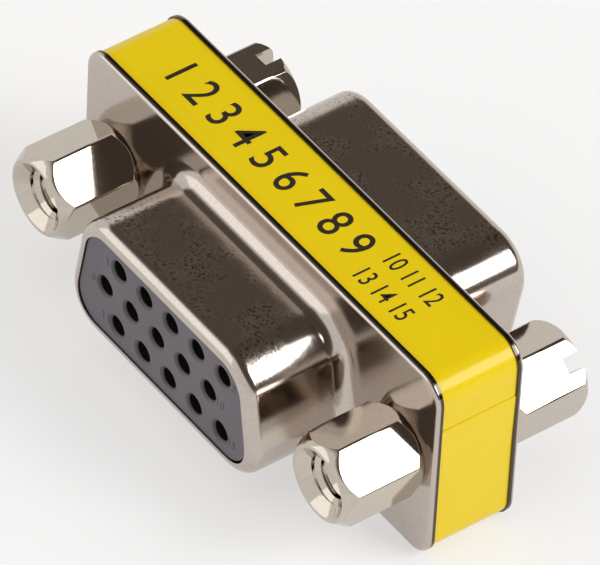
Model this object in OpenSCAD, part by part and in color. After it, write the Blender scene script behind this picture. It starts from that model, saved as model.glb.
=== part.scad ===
// Low-profile gender changer: two 15-contact female connectors back to back.
// X runs along the flanges, Y is the mating axis with the front connector
// towards -Y, and Z is up. The origin is under the middle of the body, on the
// plane that the two flanges stand on.

/* [Flanges] */
// Height of each steel flange
flange_h = 12.5; // [11.5:0.1:16]
// Radius of the flange corners
flange_r = 1.5; // [1:0.1:2.5]
// Thickness of the steel sheet
sheet_t = 0.4; // [0.3:0.05:0.5]
// Radius of the rolled edge on the outer face of a flange
edge_r = 0.2; // [0.1:0.05:0.25]
// Distance between the outer faces of the two flanges
body_t = 5.5; // [5:0.1:9]
// Distance from the side of the D shell to the centre of a jack socket
jack_offset = 4.35; // [4.2:0.05:4.6]
// Distance from the centre of a jack socket to the end of the flange
jack_inset = 2.9; // [2.6:0.05:3.2]
// Diameter of the clearance hole for a jack stud
stud_hole_d = 3.1; // [3:0.05:3.4]

/* [D shells] */
// Width of a D shell across its wide side
shell_w = 16.3; // [15.9:0.1:16.6]
// Height of a D shell
shell_h = 7.9; // [7.8:0.1:8.3]
// Radius of the shell corners
shell_r = 2.45; // [2.2:0.05:2.6]
// Slant of the two short sides
side_angle = 10; // [5:1:12]
// Height of a shell above its flange
shell_depth = 6; // [5.5:0.1:7]
// Outer radius of the curled front rim
rim_r = 0.7; // [0.6:0.05:0.8]
// Inside radius of the bend from the shell to the flange
root_r = 1; // [0.6:0.1:1.1]

/* [Insulators and contacts] */
// Spacing of the contacts along a row
contact_pitch = 2.29; // [2.2:0.01:2.3]
// Spacing of the three rows
row_pitch = 1.98; // [1.9:0.01:2.02]
// Diameter of a pin entry in the insulator face
entry_d = 1.15; // [0.95:0.05:1.25]
// Diameter of the cavity behind a pin entry
cavity_d = 1.45; // [1.4:0.05:1.6]
// Depth of the insulator face behind the rim
face_recess = 0.1; // [0.05:0.05:0.4]
// Thickness of the plate at the back of an insulator
plate_t = 1.2; // [0.9:0.1:1.3]
// Outside diameter of a contact barrel
barrel_d = 1.2; // [1.1:0.05:1.3]
// Diameter of the pin socket in a contact
socket_d = 0.8; // [0.76:0.02:0.86]
// Depth of the pin socket in a contact
socket_depth = 4.2; // [3.5:0.1:4.5]
// Width of the slit between the two spring fingers
slit_w = 0.2; // [0.1:0.05:0.3]
// Diameter of a contact tail
tail_d = 0.6; // [0.5:0.05:0.7]

/* [Spacer, label and board] */
// Thickness of the label film
label_t = 0.12; // [0.08:0.02:0.2]
// Depth of the label surface below the flange edges
label_set = 0.1; // [0.05:0.05:0.3]
// Height of the label seam above the middle of the body
seam_z = 3; // [2:0.1:4]
// Length of the label overlap below its seam
overlap_l = 3.5; // [2:0.1:5]
// Wall of the spacer between its window and a stud hole
web_t = 0.65; // [0.5:0.05:0.8]
// Wall of the spacer above and below its window
frame_t = 1.35; // [1.1:0.05:1.5]
// Thickness of the circuit board
board_t = 1; // [0.8:0.1:1.2]

/* [Jack sockets] */
// Width of a hexagon across its flats
hex_af = 4.7; // [4.5:0.05:4.9]
// Length of a front jack socket outside the flange
front_jack_l = 5.1; // [4.5:0.1:6]
// Length of a rear jack socket outside the flange
rear_jack_l = 5; // [4.5:0.1:6]
// Outside diameter of the screw thread
thread_d = 2.84; // [2.7:0.02:2.9]
// Inside diameter of the screw thread
thread_minor_d = 2.4; // [2.2:0.05:2.5]
// Depth of the threaded hole in a front jack socket
thread_depth = 4.4; // [4:0.1:4.5]
// Diameter of the mouth of a threaded hole
mouth_d = 4; // [3.4:0.1:4.1]
// Diameter of the flat end ring of a hexagon
hex_end_d = 4.4; // [4.2:0.05:4.5]
// Angle of the hexagon chamfers from the axis
chamfer_angle = 35; // [30:1:50]
// Length of the stud that screws into a rear jack socket
stud_grip = 2.2; // [1.8:0.1:2.4]
// Radius of the rounded end of a rear jack socket
dome_r = 0.9; // [0.6:0.1:1]
// Width of the screwdriver slot in a rear jack socket
slot_w = 0.95; // [0.8:0.05:1.2]
// Depth of the screwdriver slot in a rear jack socket
slot_depth = 1.2; // [0.8:0.1:1.4]

/* [Hidden] */
$fn = 48;
// Facets of the shell round each corner and round each bend of the sheet
CORNER_STEPS = 12;
BEND_STEPS = 6;
ROWS = 3;
PER_ROW = 5;
FRONT = -1;
REAR = 1;
// Gap round a piece that slides into another
fit = 0.05;
jack_pitch = shell_w + 2 * jack_offset;
flange_w = jack_pitch + 2 * jack_inset;
mid_z = flange_h / 2;
half_body = body_t / 2;
// How far the curled rim reaches over the insulator
lip = rim_r + 0.05;
// Height of the insulator face over the flange
face_z = shell_depth - face_recess;
// Depth of the plate's back below the outer face of the flange
plate_z = -sheet_t - plate_t;
board_z = -half_body + board_t / 2;
window_w = jack_pitch - stud_hole_d - 2 * web_t;
window_h = flange_h - 2 * frame_t;
// Size of the pieces that lie in the spacer's window
plate_w = window_w - 2 * fit;
plate_h = window_h - 2 * fit;
window_r = 0.8;
spacer_w = flange_w - 2 * (label_set + label_t);
spacer_h = flange_h - 2 * (label_set + label_t);
spacer_r = flange_r - label_set - label_t;
spacer_t = body_t - 2 * sheet_t;
// Length of the narrow pin entry in front of a contact cavity
entry_l = 0.9;
entry_chamfer = 0.15;
// Flare at the mouth of a contact, and depth of its socket below the slit
lead_in = 0.2;
finger_root = 0.4;
hex_r = hex_af / sqrt(3);
// Space left beyond the end of a stud in its rear jack socket
stud_gap = 0.2;
// Turn of each jack socket as it was tightened; a rear slot lies along it
front_left_turn = 20;
front_right_turn = 16;
rear_left_turn = 88;
rear_right_turn = -47;

// Corner centres, counterclockwise, each with the angles its arc runs between
function d_corners(w, h, r) =
    let (
        wide = w / 2 - r,
        up = h / 2 - r,
        narrow = wide - 2 * up * tan(side_angle)
    ) [
        [[wide, -up], -90, side_angle],
        [[narrow, up], side_angle, 90],
        [[-narrow, up], 90, 180 - side_angle],
        [[-wide, -up], 180 - side_angle, 270]
    ];

function rect_corners(w, h, r) =
    let (x = w / 2 - r, y = h / 2 - r) [
        [[x, -y], -90, 0],
        [[x, y], 0, 90],
        [[-x, y], 90, 180],
        [[-x, -y], 180, 270]
    ];

D = d_corners(shell_w, shell_h, shell_r);
FLANGE = rect_corners(flange_w, flange_h, flange_r);

// Filled outline with round corners of radius r
module outline(corners, r) {
    polygon([for (c = corners) for (a = [c[1], c[2]]) c[0] + r * [cos(a), sin(a)]]);
    for (c = corners) translate(c[0]) circle(r);
}

// Ring of points round an outline at the height z
function ring(corners, r, z) = [
    for (c = corners)
        for (i = [0:CORNER_STEPS])
            let (a = c[1] + (c[2] - c[1]) * i / CORNER_STEPS)
                [c[0][0] + r * cos(a), c[0][1] + r * sin(a), z]
];

// Arc in a section, as points of [distance outside the outline, height]
function arc(centre, r, start, end) = [
    for (i = [0:BEND_STEPS])
        let (a = start + (end - start) * i / BEND_STEPS)
            centre + r * [cos(a), sin(a)]
];

// Puts a connector half on its side of the body, mating direction outwards
module facing(side) {
    translate([0, side * half_body, mid_z])
        rotate([-side * 90, 0, 0]) children();
}

// Places a jack at the left or right screw hole
module at_jack(side, x_side, turn) {
    facing(side) translate([x_side * jack_pitch / 2, 0, 0]) rotate(turn) children();
}

// Section of the drawn shell: its outside from the lip down to the flange, and
// its inside from the flange up to the lip
OUTSIDE = concat(
    [[-lip, shell_depth]],
    arc([-rim_r, shell_depth - rim_r], rim_r, 90, 0),
    arc([root_r, root_r], root_r, 180, 270)
);
INSIDE = concat(
    arc([root_r, root_r], root_r + sheet_t, 270, 180),
    arc([-rim_r, shell_depth - rim_r], rim_r - sheet_t, 0, 90),
    [[-lip, shell_depth - sheet_t]]
);
// Section of the flange edge, rolled over at its outer face
EDGE = concat(arc([-edge_r, -edge_r], edge_r, 90, 0), [[0, -sheet_t]]);

// One drawn steel shell with its flange
module shell(side) {
    rings = concat(
        [for (p = OUTSIDE) ring(D, shell_r + p[0], p[1])],
        [for (p = EDGE) ring(FLANGE, flange_r + p[0], p[1])],
        [for (p = INSIDE) ring(D, shell_r + p[0], p[1])]
    );
    sides = len(rings[0]);
    faces = [
        for (k = [0:len(rings) - 1])
            for (i = [0:sides - 1])
                let (
                    here = k * sides,
                    beyond = (k + 1) % len(rings) * sides,
                    j = (i + 1) % sides
                )
                    for (f = [
                        [here + i, here + j, beyond + j],
                        [here + i, beyond + j, beyond + i]
                    ]) f
    ];
    facing(side)
        difference() {
            polyhedron([for (r = rings) for (p = r) p], faces, convexity = 6);
            for (x = [-1, 1])
                translate([x * jack_pitch / 2, 0, -2 * sheet_t])
                    cylinder(d = stud_hole_d, h = 3 * sheet_t);
        }
}

// Contacts are numbered along each row, from the narrow side of the D down
function contact_xy(i) =
    let (row = floor((i - 1) / PER_ROW), column = (i - 1) % PER_ROW)
        [
            (column - (PER_ROW - 1) / 2) * contact_pitch
                + (row == 1 ? -1 : 1) * contact_pitch / 4,
            (1 - row) * row_pitch
        ];

// One moulded insulator: nose in the shell, plate behind the flange
module insulator(side) {
    facing(side)
        difference() {
            union() {
                translate([0, 0, plate_z])
                    linear_extrude(plate_t)
                        outline(rect_corners(plate_w, plate_h, window_r), window_r);
                translate([0, 0, -sheet_t - fit])
                    linear_extrude(sheet_t + fit + shell_depth - rim_r)
                        outline(D, shell_r - sheet_t - fit);
                translate([0, 0, shell_depth - rim_r - fit])
                    linear_extrude(face_z - shell_depth + rim_r + fit)
                        outline(D, shell_r - lip - fit);
            }
            for (i = [1:ROWS * PER_ROW])
                translate(contact_xy(i)) {
                    translate([0, 0, plate_z - fit])
                        cylinder(d = cavity_d, h = face_z - entry_l - plate_z + fit);
                    cylinder(d = entry_d, h = shell_depth);
                    translate([0, 0, face_z - entry_chamfer])
                        cylinder(
                            d1 = entry_d,
                            d2 = entry_d + 4 * entry_chamfer,
                            h = 2 * entry_chamfer
                        );
                }
        }
}

// One female contact: collar and tail behind, slit barrel in front
module contact(side, i) {
    tip = face_z - entry_l - fit;
    collar_l = plate_t / 2;
    color("gold")
        facing(side)
            translate(contact_xy(i))
                difference() {
                    union() {
                        translate([0, 0, board_z])
                            cylinder(d = tail_d, h = plate_z - board_z + fit);
                        translate([0, 0, plate_z])
                            cylinder(d = barrel_d, h = tip - plate_z);
                        translate([0, 0, plate_z])
                            cylinder(d = cavity_d, h = collar_l);
                    }
                    translate([0, 0, tip - socket_depth])
                        cylinder(d = socket_d, h = socket_depth + fit);
                    translate([0, 0, tip - lead_in])
                        cylinder(d1 = socket_d, d2 = barrel_d, h = lead_in + fit);
                    translate([-barrel_d, -slit_w / 2, tip - socket_depth + finger_root])
                        cube([2 * barrel_d, slit_w, socket_depth]);
                }
}

// Plastic frame that keeps the two flanges apart
module spacer() {
    color("ivory")
        translate([0, spacer_t / 2, mid_z])
            rotate([90, 0, 0])
                linear_extrude(spacer_t)
                    difference() {
                        outline(rect_corners(spacer_w, spacer_h, spacer_r), spacer_r);
                        outline(rect_corners(window_w, window_h, window_r), window_r);
                        for (x = [-1, 1])
                            translate([x * jack_pitch / 2, 0]) circle(d = stud_hole_d);
                    }
}

// Printed film wrapped once round the spacer, its end lapped on the right
module label() {
    r = spacer_r + label_t;
    x = spacer_w / 2 + label_t;
    color("gold")
        translate([0, spacer_t / 2, mid_z])
            rotate([90, 0, 0]) {
                linear_extrude(spacer_t)
                    difference() {
                        outline(rect_corners(2 * x, spacer_h + 2 * label_t, r), r);
                        outline(rect_corners(spacer_w, spacer_h, spacer_r), spacer_r);
                    }
                linear_extrude(spacer_t)
                    polygon([
                        [x - label_t / 2, seam_z],
                        [x + label_t / 2, seam_z],
                        [x, seam_z - overlap_l],
                        [x - label_t / 2, seam_z - overlap_l]
                    ]);
            }
}

// Board that joins the two sets of contacts
module circuit_board() {
    color("darkgreen")
        translate([0, board_t / 2, mid_z])
            rotate([90, 0, 0])
                linear_extrude(board_t)
                    outline(rect_corners(plate_w, plate_h, window_r), window_r);
}

// Hexagon along Z whose corners are cut back by the revolved section
module hex_bar(length) {
    intersection() {
        cylinder(r = hex_r, h = length, $fn = 6);
        rotate_extrude() children();
    }
}

// Half section of a hexagon end: chamfers at both ends
module chamfered_section(length) {
    cut = (hex_r - hex_end_d / 2) / tan(chamfer_angle);
    polygon([
        [0, 0],
        [hex_end_d / 2, 0],
        [hex_r, cut],
        [hex_r, length - cut],
        [hex_end_d / 2, length],
        [0, length]
    ]);
}

// Half section with a chamfered foot and a rounded end
module domed_section(length) {
    cut = (hex_r - hex_end_d / 2) / tan(chamfer_angle);
    polygon([
        [0, 0],
        [hex_end_d / 2, 0],
        [hex_r, cut],
        [hex_r, length - dome_r],
        [0, length - dome_r]
    ]);
    square([hex_r - dome_r, length]);
    intersection() {
        translate([hex_r - dome_r, length - dome_r]) circle(dome_r);
        square([hex_r, length]);
    }
}

// Conical mouth of a threaded hole, opening at the height given
module mouth(z) {
    depth = (mouth_d - thread_minor_d) / 2;
    translate([0, 0, z - depth])
        cylinder(d1 = thread_minor_d, d2 = mouth_d + 2 * fit, h = depth + fit);
}

// Front jack socket: hexagon with a threaded hole and a stud behind it
module front_jack(x_side, turn) {
    color("silver")
        at_jack(FRONT, x_side, turn)
            difference() {
                union() {
                    hex_bar(front_jack_l) chamfered_section(front_jack_l);
                    translate([0, 0, -body_t - stud_grip])
                        cylinder(d = thread_d, h = body_t + stud_grip + fit);
                }
                translate([0, 0, front_jack_l - thread_depth])
                    cylinder(d = thread_minor_d, h = thread_depth + fit);
                mouth(front_jack_l);
            }
}

// Rear jack socket: slotted hexagon that screws on to the stud
module rear_jack(x_side, turn) {
    color("silver")
        at_jack(REAR, x_side, turn)
            difference() {
                rotate(30) hex_bar(rear_jack_l) domed_section(rear_jack_l);
                translate([0, 0, -fit])
                    cylinder(d = thread_d + fit, h = fit + stud_grip + stud_gap);
                cylinder(d = thread_minor_d, h = rear_jack_l + fit);
                translate([-hex_af, -slot_w / 2, rear_jack_l - slot_depth])
                    cube([2 * hex_af, slot_w, slot_depth + fit]);
            }
}

color("silver") shell(FRONT);  // front_shell
color("silver") shell(REAR);  // rear_shell
color("dimgray") insulator(FRONT);  // front_insulator
color("dimgray") insulator(REAR);  // rear_insulator
spacer();
label();
circuit_board();
front_jack(-1, front_left_turn);  // front_jack_left
front_jack(1, front_right_turn);  // front_jack_right
rear_jack(-1, rear_left_turn);  // rear_jack_left
rear_jack(1, rear_right_turn);  // rear_jack_right
for (i = [1:ROWS * PER_ROW])
    contact(FRONT, i);
for (i = [1:ROWS * PER_ROW])
    contact(REAR, i);
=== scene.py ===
import math

import bpy
from mathutils import Matrix, Vector


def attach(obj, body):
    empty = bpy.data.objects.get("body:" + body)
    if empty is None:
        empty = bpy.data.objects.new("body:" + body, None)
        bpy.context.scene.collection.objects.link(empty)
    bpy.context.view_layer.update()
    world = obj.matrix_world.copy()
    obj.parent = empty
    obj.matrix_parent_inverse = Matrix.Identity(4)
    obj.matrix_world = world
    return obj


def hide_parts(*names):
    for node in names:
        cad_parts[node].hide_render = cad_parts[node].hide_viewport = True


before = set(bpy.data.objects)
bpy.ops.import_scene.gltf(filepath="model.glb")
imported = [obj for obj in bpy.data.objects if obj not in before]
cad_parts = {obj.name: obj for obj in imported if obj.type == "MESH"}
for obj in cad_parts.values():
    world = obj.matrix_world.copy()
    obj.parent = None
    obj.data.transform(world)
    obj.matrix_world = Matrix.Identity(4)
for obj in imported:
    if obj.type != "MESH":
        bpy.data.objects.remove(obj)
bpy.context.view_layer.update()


# ---------------------------------------------------------------- The studio
# The changer stands on the lower edges of its two flanges on a plain pale
# table. Two soft boxes light it, one in front on the left and one behind on
# the right, under a dark ceiling that its plated tops mirror.

MM = 0.001
MIDDLE = Vector((0, 0, 6.25 * MM))
AZIMUTH, ELEVATION, ROLL = (math.radians(a) for a in (51.71, 44.53, 3.22))


class Value:
    """An output of a material node, which Python's operators work on."""

    def __init__(self, finish, socket):
        self.finish, self.socket = finish, socket

    def maths(self, operation, *values):
        return self.finish.node("Math", {"operation": operation}, dict(enumerate(values)))

    def __add__(self, other):
        return self.maths("ADD", self, other)

    def __sub__(self, other):
        return self.maths("SUBTRACT", self, other)

    def __rsub__(self, other):
        return self.maths("SUBTRACT", other, self)

    def __mul__(self, other):
        return self.maths("MULTIPLY", self, other)

    __radd__ = __add__
    __rmul__ = __mul__


class Finish:
    """A finish made of shader nodes, for a piece or for the studio's air."""

    def __init__(self, name, tree=None):
        if tree is None:
            self.material = bpy.data.materials.new(name)
            self.material.use_nodes = True
            tree = self.material.node_tree
        self.tree = tree

    def node(self, kind, settings, inputs, output=0):
        made = self.tree.nodes.new("ShaderNode" + kind)
        for name, setting in settings.items():
            if name == "stops":
                for place, shade in setting[1:-1]:
                    made.color_ramp.elements.new(place).color = (*shade, 1)
                for k, (place, shade) in ((0, setting[0]), (-1, setting[-1])):
                    made.color_ramp.elements[k].position = place
                    made.color_ramp.elements[k].color = (*shade, 1)
            else:
                setattr(made, name, setting)
        for name, value in inputs.items():
            self.put(made.inputs[name], value)
        return Value(self, made.outputs[output])

    def put(self, socket, value):
        if isinstance(value, Value):
            self.tree.links.new(value.socket, socket)
        elif socket.type == "RGBA" and len(value) == 3:
            socket.default_value = (*value, 1)
        else:
            socket.default_value = value

    def surface(self, **values):
        shader = self.tree.nodes["Principled BSDF"]
        for name, value in values.items():
            self.put(shader.inputs[name.replace("_", " ")], value)

    def place(self):
        return self.node("TexCoord", {}, {}, "Object")

    def grain(self, size, detail=2, at=None):
        """Noise between 0 and 1 whose lumps are about this big, in metres."""
        return self.node("TexNoise", {}, {"Vector": at or self.place(), "Scale": 1 / size, "Detail": detail})

    def between(self, amount, low, high):
        """A colour that runs from low to high as the amount runs from 0 to 1."""
        return self.node("Mix", {"data_type": "RGBA"}, {0: amount, 6: low, 7: high}, 2)

    def band(self, value, low, high):
        """0 below low, 1 above high and smooth between them."""
        return self.node("MapRange", {"interpolation_type": "SMOOTHSTEP"}, {0: value, 1: low, 2: high})

    def relief(self, height, depth):
        """A bump as deep as this, in metres, where the height runs from 0 to 1."""
        return self.node("Bump", {}, {"Height": height, "Distance": depth})


def srgb(*shade):
    """The colour that a render shows with these numbers, from 0 to 255."""
    return tuple(((s / 255 + 0.055) / 1.055) ** 2.4 for s in shade)


def apply_place(piece):
    """Puts the object at the origin, with its place in its mesh."""
    piece.data.transform(piece.matrix_world)
    piece.matrix_world = Matrix()


def start(piece=None):
    """Leaves only this piece selected and active, outside edit mode."""
    if bpy.context.object and bpy.context.object.mode != "OBJECT":
        bpy.ops.object.mode_set(mode="OBJECT")
    bpy.ops.object.select_all(action="DESELECT")
    if piece:
        piece.select_set(True)
        bpy.context.view_layer.objects.active = piece


def added(name):
    """Names the primitive that was just added and hands it back."""
    piece = bpy.context.object
    piece.name = piece.data.name = name
    return piece


start()
bpy.ops.mesh.primitive_plane_add(size=3)
table = added("table")
bpy.ops.object.mode_set(mode="EDIT")
bpy.ops.mesh.subdivide(number_cuts=2)
bpy.ops.object.mode_set(mode="OBJECT")
paper = Finish("pale_paper")
paper.surface(Base_Color=(0.95, 0.95, 0.95), Roughness=0.9)
glow = paper.tree.nodes.new("ShaderNodeEmission")
blend = paper.tree.nodes.new("ShaderNodeMixShader")
seen = [paper.node("LightPath", {}, {}, ray) for ray in ("Is Camera Ray", "Is Glossy Ray", "Is Transmission Ray")]
paper.put(blend.inputs[0], (seen[0] + seen[1] + seen[2]) * 0.5)
paper.tree.links.new(paper.tree.nodes["Principled BSDF"].outputs[0], blend.inputs[1])
paper.tree.links.new(glow.outputs[0], blend.inputs[2])
paper.tree.links.new(blend.outputs[0], paper.tree.nodes["Material Output"].inputs[0])
table.data.materials.append(paper.material)

# The room: pale walls in front and on the left under a dark, warm ceiling
world = bpy.data.worlds.new("studio")
world.use_nodes = True
bpy.context.scene.world = world
room = Finish("studio", world.node_tree)
way = room.node("TexCoord", {}, {}, "Generated")
east, north, height = (room.node("SeparateXYZ", {}, {0: way}, axis) for axis in "XYZ")
height = height + north * 0.3 + east.maths("MAXIMUM", east, 0.0) * 0.6
walls = room.node(
    "ValToRGB",
    {"stops": [(0.0, (0.9, 0.9, 0.9)), (0.56, (0.88, 0.87, 0.85)), (0.7, (0.13, 0.11, 0.095)), (1.0, (0.09, 0.075, 0.06))]},
    {0: height},
)
air = world.node_tree.nodes["Background"]
room.put(air.inputs["Color"], walls)
air.inputs["Strength"].default_value = 1


def soft_box(name, towards, size, power, mirrored=True):
    """A square lamp half a metre from the changer, facing it."""
    lamp = bpy.data.lights.new(name, "AREA")
    lamp.shape = "SQUARE"
    lamp.size = size
    lamp.energy = power
    box = bpy.data.objects.new(name, lamp)
    bpy.context.scene.collection.objects.link(box)
    direction = Vector(towards).normalized()
    box.location = MIDDLE + 0.5 * direction
    box.rotation_euler = direction.to_track_quat("Z", "Y").to_euler()
    box.visible_camera = False
    box.visible_glossy = mirrored


soft_box("front_box", (-0.56, -0.76, 0.30), 0.45, 0.4)
soft_box("back_box", (0.68, 0.44, 0.60), 0.30, 1.85)
soft_box("fill", (-0.1, -0.2, 1), 0.5, 0.65, mirrored=False)

# The camera looks down on the front right corner from half a metre away
back = Vector(
    (
        math.sin(AZIMUTH) * math.cos(ELEVATION),
        -math.cos(AZIMUTH) * math.cos(ELEVATION),
        math.sin(ELEVATION),
    )
)
level = Vector((math.cos(AZIMUTH), math.sin(AZIMUTH), 0))
rise = back.cross(level)
right = level * math.cos(ROLL) + rise * math.sin(ROLL)
up = rise * math.cos(ROLL) - level * math.sin(ROLL)
eye = (right * 7.091 + up * 3.233 + back * 465.274 + Vector((0, -8.684, 6.25))) * MM
lens = bpy.data.cameras.new("camera")
lens.lens = 543.16
lens.sensor_width = 36
camera = bpy.data.objects.new("camera", lens)
camera.matrix_world = Matrix.Translation(eye) @ Matrix((right, up, back)).transposed().to_4x4()
bpy.context.scene.collection.objects.link(camera)
bpy.context.scene.camera = camera
bpy.context.scene.view_settings.view_transform = "Standard"


# ------------------------------------------------------------ The two shells
# Each shell is drawn from one piece of 0.4 mm steel: a flange with its outer
# edge rolled over, a soft bend at the root of the D, straight walls, and a rim
# curled in over the insulator. Bright nickel plate over the drawn grain.

SHEET = 0.4 * MM
FLANGE_FACE = 2.75 * MM
SHELL_W, SHELL_H, SHELL_DEPTH = 16.3 * MM, 7.9 * MM, 6 * MM
SHELL_R = 2.45 * MM
SIDE_ANGLE = math.radians(10)
ROOT_R, RIM_R, LIP = 1.0 * MM, 0.7 * MM, 0.75 * MM
FLANGE_W, FLANGE_H, FLANGE_R = 30.8 * MM, 12.5 * MM, 1.5 * MM
EDGE_R = 0.2 * MM
HOLE_R = 1.55 * MM
JACK_X = 12.5 * MM
BEND_STEPS = 8


def pick(piece, kind, wanted):
    """In edit mode, selects just the vertices, edges or faces that are wanted."""
    bpy.ops.mesh.select_mode(type={"vertices": "VERT", "edges": "EDGE", "polygons": "FACE"}[kind])
    bpy.ops.mesh.select_all(action="DESELECT")
    bpy.ops.object.mode_set(mode="OBJECT")
    points = piece.data.vertices
    for part in getattr(piece.data, kind):
        corners = [part.co] if kind == "vertices" else [points[v].co for v in part.vertices]
        part.select = wanted(part, corners)
    bpy.ops.object.mode_set(mode="EDIT")


def round_corners(piece, wanted, radius, angle, steps):
    """Rounds the corners of a flat face that are wanted, each of this inside angle."""
    pick(piece, "vertices", lambda part, corners: wanted(corners[0]))
    bpy.ops.mesh.bevel(offset=radius / math.tan(angle / 2), segments=steps, affect="VERTICES", profile=0.5)


start()
bpy.ops.mesh.primitive_plane_add(size=1, rotation=(math.pi / 2, 0, 0))
front_shell = added("front_drawn_shell")
# The foot of the D, a little outside its root bend, lying on the flange
FOOT = ROOT_R + 0.2 * MM
foot_h = SHELL_H / 2 + FOOT
lean = math.tan(SIDE_ANGLE)
for corner in front_shell.data.vertices:
    x, y = math.copysign(1, corner.co.x), math.copysign(foot_h, corner.co.y)
    reach = SHELL_W / 2 - SHELL_R + (SHELL_R + FOOT) / math.cos(SIDE_ANGLE) - (y + SHELL_H / 2 - SHELL_R) * lean
    corner.co = (x * reach, y, 0)
front_shell.location = (0, -FLANGE_FACE, MIDDLE.z)
bpy.context.view_layer.update()
apply_place(front_shell)
bpy.ops.object.mode_set(mode="EDIT")
corner_r = SHELL_R + FOOT
round_corners(front_shell, lambda c: c.z < MIDDLE.z, corner_r, math.pi / 2 - SIDE_ANGLE, 14)
round_corners(front_shell, lambda c: c.z > MIDDLE.z + 0.98 * foot_h, corner_r, math.pi / 2 + SIDE_ANGLE, 14)

# The root bend, the wall and the curled rim, drawn inwards from that face
bpy.ops.mesh.select_mode(type="FACE")
bpy.ops.mesh.select_all(action="SELECT")
turn = math.pi / 2 / BEND_STEPS
section = [(FOOT, 0)]
section += [(ROOT_R * (1 - math.sin(k * turn)), ROOT_R * (1 - math.cos(k * turn))) for k in range(BEND_STEPS + 1)]
section += [
    (RIM_R * (math.cos(k * turn) - 1), SHELL_DEPTH - RIM_R * (1 - math.sin(k * turn)))
    for k in range(BEND_STEPS + 1)
]
section.append((-LIP, SHELL_DEPTH))
for (out, high), (next_out, next_high) in zip(section, section[1:]):
    if out - next_out > 1e-9:
        bpy.ops.mesh.inset(thickness=out - next_out, depth=next_high - high)
    else:
        bpy.ops.mesh.extrude_region_move(TRANSFORM_OT_translate={"value": (0, high - next_high, 0)})
bpy.ops.mesh.delete(type="FACE")
bpy.ops.mesh.select_all(action="SELECT")
bpy.ops.mesh.normals_make_consistent(inside=False)
bpy.ops.object.mode_set(mode="OBJECT")
sheet = front_shell.modifiers.new("sheet", "SOLIDIFY")
sheet.thickness = SHEET
sheet.offset = -1
sheet.use_even_offset = True
bpy.ops.object.modifier_apply(modifier="sheet")

# Opened again at its foot, where the flange goes on
bpy.ops.object.mode_set(mode="EDIT")
pick(
    front_shell,
    "polygons",
    lambda face, cs: abs(face.normal.y) < 0.3 and min(c.y for c in cs) > -FLANGE_FACE - 0.001 * MM
    and max(c.y for c in cs) - min(c.y for c in cs) > 0.9 * SHEET,
)
bpy.ops.mesh.delete(type="FACE")

# The flange: its edge, rolled over at the front, and its two jack holes
bpy.ops.mesh.primitive_plane_add(size=1, location=(0, SHEET - FLANGE_FACE, MIDDLE.z), rotation=(math.pi / 2, 0, 0))
bpy.ops.transform.resize(value=(FLANGE_W, 1, FLANGE_H))
bpy.ops.mesh.bevel(offset=FLANGE_R, segments=12, affect="VERTICES", profile=0.5)
bpy.ops.mesh.select_mode(type="FACE")
pick(front_shell, "polygons", lambda face, cs: max(c.x for c in cs) > FLANGE_W / 2 - 0.01 * MM)
bpy.ops.mesh.extrude_region_move(TRANSFORM_OT_translate={"value": (0, EDGE_R - SHEET, 0)})
steps = 5
rolls = [math.radians(90 / steps * k) for k in range(steps + 1)]
for a, b in zip(rolls, rolls[1:]):
    bpy.ops.mesh.inset(thickness=EDGE_R * (math.cos(a) - math.cos(b)), depth=EDGE_R * (math.sin(b) - math.sin(a)))
bpy.ops.mesh.delete(type="FACE")
pick(front_shell, "polygons", lambda face, cs: len(cs) > 4 and min(c.y for c in cs) > SHEET - FLANGE_FACE - 0.01 * MM)
bpy.ops.mesh.inset(thickness=EDGE_R)
bpy.ops.mesh.delete(type="FACE")
bpy.ops.mesh.select_mode(type="EDGE")
for side in (-1, 1):
    bpy.ops.mesh.primitive_circle_add(
        vertices=48, radius=HOLE_R, location=(side * JACK_X, -FLANGE_FACE, MIDDLE.z), rotation=(math.pi / 2, 0, 0)
    )
    bpy.ops.mesh.extrude_region_move(TRANSFORM_OT_translate={"value": (0, SHEET, 0)})
bpy.ops.mesh.select_mode(type="EDGE")
bpy.ops.mesh.select_all(action="DESELECT")
bpy.ops.mesh.select_non_manifold()
bpy.ops.object.mode_set(mode="OBJECT")
points = front_shell.data.vertices
for edge in front_shell.data.edges:
    edge.select = edge.select and all(points[v].co.y < 0.01 * MM - FLANGE_FACE for v in edge.vertices)
bpy.ops.object.mode_set(mode="EDIT")
bpy.ops.mesh.fill(use_beauty=True)
# Its back is the same sheet again, one thickness behind
bpy.ops.mesh.duplicate_move(TRANSFORM_OT_translate={"value": (0, SHEET, 0)})
bpy.ops.mesh.select_all(action="SELECT")
bpy.ops.mesh.remove_doubles(threshold=0.003 * MM)
bpy.ops.mesh.delete_loose()
bpy.ops.mesh.select_all(action="SELECT")
bpy.ops.mesh.normals_make_consistent(inside=False)
bpy.ops.object.mode_set(mode="OBJECT")


def shade(piece, angle):
    """Smooths the curved faces and keeps the flat ones flat."""
    start(piece)
    bpy.ops.object.shade_smooth_by_angle(angle=math.radians(angle))
    level_flats = piece.modifiers.new("level_flats", "WEIGHTED_NORMAL")
    level_flats.keep_sharp = True
    bpy.ops.object.modifier_apply(modifier="level_flats")


shade(front_shell, 32)

start(front_shell)
bpy.ops.object.duplicate()
rear_shell = added("rear_drawn_shell")
bpy.ops.object.mode_set(mode="EDIT")
bpy.ops.mesh.select_all(action="SELECT")
bpy.ops.transform.rotate(value=math.pi, orient_axis="X", center_override=MIDDLE)
bpy.ops.object.mode_set(mode="OBJECT")


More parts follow.
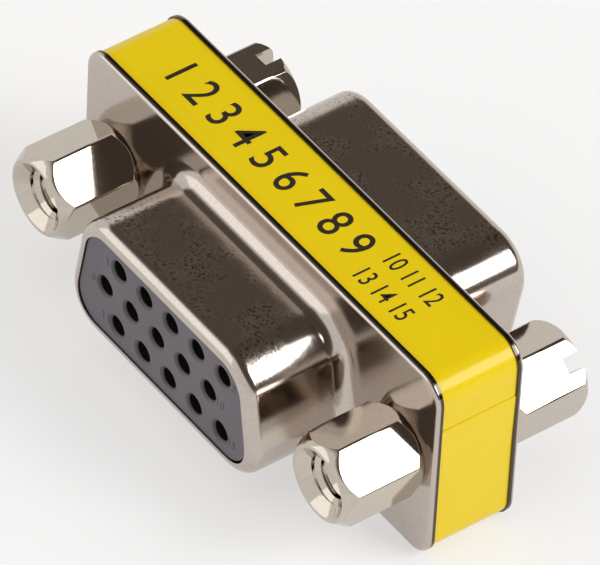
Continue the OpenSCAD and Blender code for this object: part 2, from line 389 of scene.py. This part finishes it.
def plated(name, tone, dull, rough, depth, scuffed_from, scuffed_to):
    """Bright nickel, pitted between two distances, and dark behind the flange's front: partly the duller cut edge,
    partly painted shade in the gap beside the label.
    """
    finish = Finish(name)
    at = finish.place()
    along, out = (
        finish.node("Math", {"operation": "ABSOLUTE"}, {0: finish.node("SeparateXYZ", {}, {0: at}, axis)})
        for axis in "XY"
    )
    patches = finish.band(finish.grain(2.2 * MM, 2, at), 0.38, 0.58)
    patches = patches * finish.band(out, scuffed_from, scuffed_from + MM)
    patches = patches * finish.band(out, scuffed_to, scuffed_to - 0.3 * MM) * finish.band(along, 8 * MM, 6 * MM)
    pits = finish.grain(0.2 * MM, 3, at)
    specks = finish.band(finish.grain(0.16 * MM, 2, at), 0.54, 0.62) * patches
    plate = finish.between(specks, finish.between(pits, dull, tone), srgb(130, 116, 103))
    finish.surface(
        # Less than 2.5 mm from the middle the plate is dark: partly the duller cut edge, partly painted shade on the
        # flange's back and in the gap beside the label
        Base_Color=finish.between(finish.band(out, 2.5 * MM, 2.58 * MM), srgb(84, 76, 70), plate),
        Metallic=1.0,
        Roughness=patches * 0.08 + pits * 0.04 + rough,
        Normal=finish.relief(pits * (patches * 0.85 + 0.15), depth),
    )
    return finish.material


shell_plate = plated("shell_nickel", srgb(202, 192, 184), srgb(186, 174, 164), 0.13, 0.007 * MM, 3.6 * MM, 8.3 * MM)
for piece, node in ((front_shell, "front_shell"), (rear_shell, "rear_shell")):
    piece.data.materials.append(shell_plate)
    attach(piece, "root")
    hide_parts(node)


# -------------------------------------------- Insulators and their contacts
# Each insulator is one moulding in dark grey thermoplastic that fills its
# shell, with fifteen countersunk pin entries in three rows. The contacts are
# gold-flashed fork sockets that sit behind the entries.

FACE = FLANGE_FACE + 5.9 * MM
CONTACT_PITCH, ROW_PITCH = 2.29 * MM, 1.98 * MM

moulding = Finish("grey_moulding")
speckle = moulding.grain(0.12 * MM, 3)
drift = moulding.grain(3.5 * MM, 1)
# The entries are darker inside: painted shade in their depths, from 0.02 mm below the face to near black at 0.22 mm
y = moulding.node("SeparateXYZ", {}, {0: moulding.place()}, "Y")
clear_of_painted_shade = moulding.band(moulding.node("Math", {"operation": "ABSOLUTE"}, {0: y}), FACE - 0.22 * MM, FACE - 0.02 * MM)
moulding.surface(
    Base_Color=moulding.between(
        clear_of_painted_shade,
        # painted shade deep in the entries
        srgb(16, 14, 15),
        moulding.between(speckle * 0.35 + drift * 0.65, srgb(76, 70, 78), srgb(106, 98, 104)),
    ),
    Roughness=0.46,
    Normal=moulding.relief(speckle, 0.006 * MM),
)
for name in ("front_insulator", "rear_insulator"):
    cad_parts[name].material_slots[0].material = moulding.material

gold = Finish("contact_gold")
rub = gold.grain(0.2 * MM)
gold.surface(
    Base_Color=gold.between(rub, srgb(150, 118, 66), srgb(214, 178, 106)), Metallic=1.0, Roughness=rub * 0.2 + 0.2
)
for name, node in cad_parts.items():
    if "_contact_" in name:
        node.material_slots[0].material = gold.material


def lettered(text, place, tilt, size, depth):
    """Digits that stand this far proud of a face, as a mesh of their own."""
    start()
    bpy.ops.object.text_add(location=place, rotation=(tilt, 0, 0))
    made = added("digits_" + text.replace(" ", "_"))
    made.data.body = text
    made.data.size = size
    made.data.align_x, made.data.align_y = "CENTER", "CENTER"
    made.data.offset = 0.004 * size
    made.data.extrude = depth
    bpy.ops.object.convert(target="MESH")
    made = bpy.context.object
    bpy.context.view_layer.update()
    apply_place(made)
    bpy.ops.object.mode_set(mode="EDIT")
    bpy.ops.mesh.select_all(action="SELECT")
    bpy.ops.mesh.remove_doubles(threshold=0.001 * MM)
    bpy.ops.object.mode_set(mode="OBJECT")
    return made


def together(name, pieces):
    """Joins pieces into one that has no material yet."""
    start(pieces[0])
    for piece in pieces:
        piece.select_set(True)
    bpy.ops.object.join()
    made = added(name)
    made.data.materials.clear()
    return made


# A contact number is moulded at each end of each row
numerals = []
for row in range(3):
    shift = (-1 if row == 1 else 1) * CONTACT_PITCH / 4
    for end, column in ((-1, 1), (1, 5)):
        x = shift + end * (2 * CONTACT_PITCH + 1.0 * MM)
        z = MIDDLE.z + (1 - row) * ROW_PITCH
        place = (x, 0.005 * MM - FACE, z - 0.1 * MM)
        numerals.append(lettered(str(5 * row + column), place, math.pi / 2, 0.8 * MM, 0.03 * MM))
front_numbers = together("front_contact_numbers", numerals)
front_numbers.data.materials.append(moulding.material)
start(front_numbers)
bpy.ops.object.duplicate()
rear_numbers = added("rear_contact_numbers")
bpy.ops.object.mode_set(mode="EDIT")
bpy.ops.mesh.select_all(action="SELECT")
bpy.ops.transform.rotate(value=math.pi, orient_axis="X", center_override=MIDDLE)
bpy.ops.object.mode_set(mode="OBJECT")
for piece in (front_numbers, rear_numbers):
    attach(piece, "root")


# ------------------------------------------------- Spacer, board and label
# A dark plastic frame keeps the two flanges apart round the small board that
# joins the contacts. One strip of gloss yellow film is wrapped round it, a
# little below the flange edges, and laps over itself on the right-hand end.

LABEL_W, LABEL_H, LABEL_R = 30.6 * MM, 12.3 * MM, 1.4 * MM
LABEL_Y = 2.35 * MM
FILM, SEAM_Z, LAP_L = 0.12 * MM, 3.0 * MM, 3.5 * MM

spacer_plastic = Finish("spacer_moulding")
spacer_plastic.surface(
    Base_Color=spacer_plastic.between(spacer_plastic.grain(0.3 * MM), srgb(48, 46, 46), srgb(62, 60, 60)),
    Roughness=0.5,
)
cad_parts["spacer"].material_slots[0].material = spacer_plastic.material

board = Finish("board_green")
fibres = board.grain(0.25 * MM, 3)
board.surface(Base_Color=board.between(fibres, srgb(24, 78, 48), srgb(38, 104, 66)), Roughness=0.35)
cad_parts["circuit_board"].material_slots[0].material = board.material

start()
bpy.ops.mesh.primitive_plane_add(size=1, location=(0, -LABEL_Y, MIDDLE.z), rotation=(math.pi / 2, 0, 0))
film = added("label_film")
bpy.ops.object.mode_set(mode="EDIT")
bpy.ops.transform.resize(value=(LABEL_W, 1, LABEL_H))
bpy.ops.object.mode_set(mode="OBJECT")
apply_place(film)
bpy.ops.object.mode_set(mode="EDIT")
bpy.ops.mesh.select_all(action="SELECT")
bpy.ops.mesh.bevel(offset=LABEL_R, segments=14, affect="VERTICES", profile=0.5)
bpy.ops.mesh.select_all(action="SELECT")
bpy.ops.mesh.extrude_region_move(TRANSFORM_OT_translate={"value": (0, 2 * LABEL_Y, 0)})
pick(film, "polygons", lambda face, cs: len(cs) > 4)
bpy.ops.mesh.delete(type="ONLY_FACE")
bpy.ops.mesh.select_all(action="SELECT")
bpy.ops.mesh.normals_make_consistent(inside=False)
bpy.ops.object.mode_set(mode="OBJECT")
thick = film.modifiers.new("film", "SOLIDIFY")
thick.thickness = FILM
thick.offset = -1
bpy.ops.object.modifier_apply(modifier="film")

# The lapped end: a strip that lies on the wrap and thins into it at its foot
start()
bpy.ops.mesh.primitive_cube_add(size=1, location=(LABEL_W / 2, 0, MIDDLE.z + SEAM_Z - LAP_L / 2))
lap = added("label_lap")
bpy.ops.object.mode_set(mode="EDIT")
bpy.ops.transform.resize(value=(FILM, 2 * LABEL_Y, LAP_L))
pick(lap, "vertices", lambda v, cs: cs[0].z < 0 and cs[0].x > 0)
bpy.ops.transform.translate(value=(-0.48 * FILM, 0, 0))
bpy.ops.object.mode_set(mode="OBJECT")
apply_place(lap)
start(lap)
rolled = lap.modifiers.new("edge", "BEVEL")
rolled.width = 0.012 * MM
rolled.segments = 2
bpy.ops.object.modifier_apply(modifier="edge")
film.select_set(True)
bpy.context.view_layer.objects.active = film
bpy.ops.object.join()
shade(film, 30)

yellow = Finish("yellow_film")
mottle = yellow.grain(2.2 * MM, 2)
paper_fibre = yellow.grain(0.1 * MM, 2)
yellow.surface(
    Base_Color=yellow.between(mottle * 0.8 + paper_fibre * 0.2, srgb(230, 200, 6), srgb(238, 208, 14)),
    Roughness=0.34,
    Specular_IOR_Level=0.2,
    Coat_Weight=0.3,
    Coat_Roughness=0.06,
    Normal=yellow.relief(mottle, 0.01 * MM),
)
film.data.materials.append(yellow.material)
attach(film, "root")
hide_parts("label")

# Its top is printed in black with the plain contact numbers


def printed(text, left, right, y, size):
    """A row of digits printed on the label's top between two places along it."""
    row = lettered(text, (0, y, MIDDLE.z + LABEL_H / 2), 0, size, 0.008 * MM)
    ends = [v.co.x for v in row.data.vertices]
    squeeze = Matrix.Scale((right - left) / (max(ends) - min(ends)), 4, (1, 0, 0))
    row.data.transform(Matrix.Translation(((left + right) / 2, 0, 0)) @ squeeze)
    return row


label_print = together(
    "label_print",
    [
        printed("1 2 3 4 5 6 7 8 9", -11.3 * MM, 4.9 * MM, 0, 2.9 * MM),
        printed("10 11 12", 6.1 * MM, 10.1 * MM, 0.95 * MM, 1.6 * MM),
        printed("13 14 15", 6.1 * MM, 10.1 * MM, -0.95 * MM, 1.6 * MM),
    ],
)
ink = Finish("label_ink")
ink.surface(
    Base_Color=ink.between(ink.grain(0.12 * MM, 3), srgb(30, 24, 14), srgb(46, 38, 22)), Roughness=0.4
)
label_print.data.materials.append(ink.material)
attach(label_print, "root")


# ---------------------------------------------------------- The jack sockets
# Each front jack socket is a chamfered hexagon of plated brass with a tapped
# hole, and its stud runs back through both flanges. Each rear one is a slotted
# hexagon with a rounded end that screws on to that stud.

HEX_R = 4.7 * MM / math.sqrt(3)
HEX_END_R = 2.2 * MM
FRONT_L, REAR_L = 5.1 * MM, 5.0 * MM
THREAD_R, THREAD_MINOR_R, THREAD_PITCH = 1.42 * MM, 1.2 * MM, 0.635 * MM
THREAD_DEPTH, MOUTH_R = 4.4 * MM, 2.0 * MM
STUD_GRIP, DOME_R = 2.2 * MM, 0.9 * MM
SLOT_W, SLOT_DEPTH = 0.95 * MM, 1.2 * MM
BODY_T = 5.5 * MM
CHAMFER_L = (HEX_R - HEX_END_R) / math.tan(math.radians(35))


def rod(name, radius, low, high, sides=64):
    """A rod on the Z axis between two heights, ready for editing at the origin."""
    start()
    bpy.ops.mesh.primitive_cylinder_add(
        vertices=sides, radius=radius, depth=high - low, location=(0, 0, (low + high) / 2), rotation=(0, 0, math.pi / 2)
    )
    piece = added(name)
    apply_place(piece)
    return piece


def end_step(piece, height, rise, radius_now, radius_next):
    """Draws the flat end at this height out by rise and to the next radius."""
    start(piece)
    bpy.ops.object.mode_set(mode="EDIT")
    pick(piece, "polygons", lambda face, cs: len(cs) > 4 and flat_end(height, cs))
    bpy.ops.mesh.extrude_region_move(TRANSFORM_OT_translate={"value": (0, 0, rise)})
    scale = radius_next / radius_now
    bpy.ops.transform.resize(value=(scale, scale, 1), center_override=(0, 0, height + rise))
    bpy.ops.object.mode_set(mode="OBJECT")


def flat_end(height, corners):
    return all(abs(c.z - height) < 0.001 * MM for c in corners)


def cut(piece, tool, operation):
    """Applies a boolean with the tool, which is used up."""
    start(piece)
    carve = piece.modifiers.new("carve", "BOOLEAN")
    carve.operation = operation
    carve.solver = "EXACT"
    carve.object = tool
    bpy.ops.object.modifier_apply(modifier="carve")
    bpy.data.objects.remove(tool)


def soften(piece, width, angle):
    """Takes the sharpness off the edges, as tumbling and plating do."""
    start(piece)
    worn_edge = piece.modifiers.new("soften", "BEVEL")
    worn_edge.width = width
    worn_edge.segments = 2
    worn_edge.limit_method = "ANGLE"
    worn_edge.angle_limit = math.radians(angle)
    bpy.ops.object.modifier_apply(modifier="soften")


# Front: the hexagon, cut to a turned blank that is chamfered at both ends
front_jack = rod("front_jack", HEX_R, 0, FRONT_L, 6)
soften(front_jack, 0.12 * MM, 50)
blank = rod("turned_blank", HEX_R, CHAMFER_L, FRONT_L - CHAMFER_L)
end_step(blank, FRONT_L - CHAMFER_L, CHAMFER_L, HEX_R, HEX_END_R)
end_step(blank, CHAMFER_L, -CHAMFER_L, HEX_R, HEX_END_R)
cut(front_jack, blank, "INTERSECT")
tapping = rod("tapping", THREAD_R, FRONT_L - THREAD_DEPTH, FRONT_L - (MOUTH_R - THREAD_R))
end_step(tapping, FRONT_L - (MOUTH_R - THREAD_R), MOUTH_R - THREAD_R + 0.05 * MM, THREAD_R, MOUTH_R + 0.05 * MM)
cut(front_jack, tapping, "DIFFERENCE")
soften(front_jack, 0.05 * MM, 24)

# Its stud, and the thread in its hole: one V-shaped rib wound up the wall
stud = rod("stud", THREAD_R, -BODY_T - STUD_GRIP, 0.1 * MM, 48)
soften(stud, 0.15 * MM, 40)
start()
bpy.ops.mesh.primitive_circle_add(vertices=3, radius=1, fill_type="NOTHING")
thread = added("jack_thread")
for corner, (r, z) in zip(
    thread.data.vertices,
    ((THREAD_R + 0.03 * MM, 0), (THREAD_R + 0.03 * MM, 0.55 * MM), (THREAD_MINOR_R, 0.275 * MM)),
):
    corner.co = (r, 0, z + FRONT_L - THREAD_DEPTH + 0.25 * MM)
wind = thread.modifiers.new("wind", "SCREW")
wind.axis = "Z"
wind.screw_offset = THREAD_PITCH
wind.iterations = 5
wind.steps = wind.render_steps = 40
wind.use_merge_vertices = True
wind.use_smooth_shade = False
start(thread)
bpy.ops.object.modifier_apply(modifier="wind")
bpy.ops.object.mode_set(mode="EDIT")
bpy.ops.mesh.select_all(action="SELECT")
bpy.ops.mesh.fill_holes(sides=3)
bpy.ops.mesh.select_all(action="SELECT")
bpy.ops.mesh.normals_make_consistent(inside=False)
bpy.ops.object.mode_set(mode="OBJECT")
start(front_jack)
for piece in (stud, thread):
    piece.select_set(True)
bpy.ops.object.join()
shade(front_jack, 30)

# Rear: the hexagon, cut to a blank with a chamfered foot and a rounded end
rear_jack = rod("rear_jack", HEX_R, 0, REAR_L, 6)
soften(rear_jack, 0.12 * MM, 50)
blank = rod("turned_blank", HEX_R, CHAMFER_L, REAR_L - DOME_R)
end_step(blank, CHAMFER_L, -CHAMFER_L, HEX_R, HEX_END_R)
turns = 8
arc = [(HEX_R - DOME_R * (1 - math.cos(k * math.pi / 2 / turns)), DOME_R * math.sin(k * math.pi / 2 / turns)) for k in range(turns + 1)]
for (r, z), (next_r, next_z) in zip(arc, arc[1:]):
    end_step(blank, REAR_L - DOME_R + z, next_z - z, r, next_r)
cut(rear_jack, blank, "INTERSECT")
bore = rod("bore", THREAD_MINOR_R, -0.1 * MM, REAR_L + 0.1 * MM, 48)
cut(rear_jack, bore, "DIFFERENCE")
start()
bpy.ops.mesh.primitive_cube_add(size=1, location=(0, 0, REAR_L - SLOT_DEPTH + HEX_R), rotation=(0, 0, math.pi / 6))
slot = added("slot")
bpy.ops.object.mode_set(mode="EDIT")
bpy.ops.transform.resize(value=(3 * HEX_R, SLOT_W, 2 * HEX_R), orient_matrix=slot.matrix_world.to_3x3().transposed(), orient_type="LOCAL")
bpy.ops.object.mode_set(mode="OBJECT")
apply_place(slot)
cut(rear_jack, slot, "DIFFERENCE")
soften(rear_jack, 0.05 * MM, 24)
shade(rear_jack, 30)

jack_plate = plated("jack_nickel", srgb(204, 195, 184), srgb(192, 182, 168), 0.05, 0.003 * MM, 9 * MM, 9 * MM)


def fitted(pattern, node, x, side, turn):
    """A copy of a jack socket, screwed in against its flange with this turn."""
    start(pattern)
    bpy.ops.object.duplicate()
    piece = added(node.replace("jack", "jack_socket"))
    outward = Matrix.Rotation(-side * math.pi / 2, 4, "X") @ Matrix.Rotation(math.radians(turn), 4, "Z")
    piece.data.transform(Matrix.Translation((x, side * FLANGE_FACE, MIDDLE.z)) @ outward)
    piece.data.materials.append(jack_plate)
    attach(piece, "root")
    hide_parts(node)


fitted(front_jack, "front_jack_left", -JACK_X, -1, 20)
fitted(front_jack, "front_jack_right", JACK_X, -1, 16)
fitted(rear_jack, "rear_jack_left", -JACK_X, 1, 58)
fitted(rear_jack, "rear_jack_right", JACK_X, 1, -77)
for pattern in (front_jack, rear_jack):
    bpy.data.objects.remove(pattern)
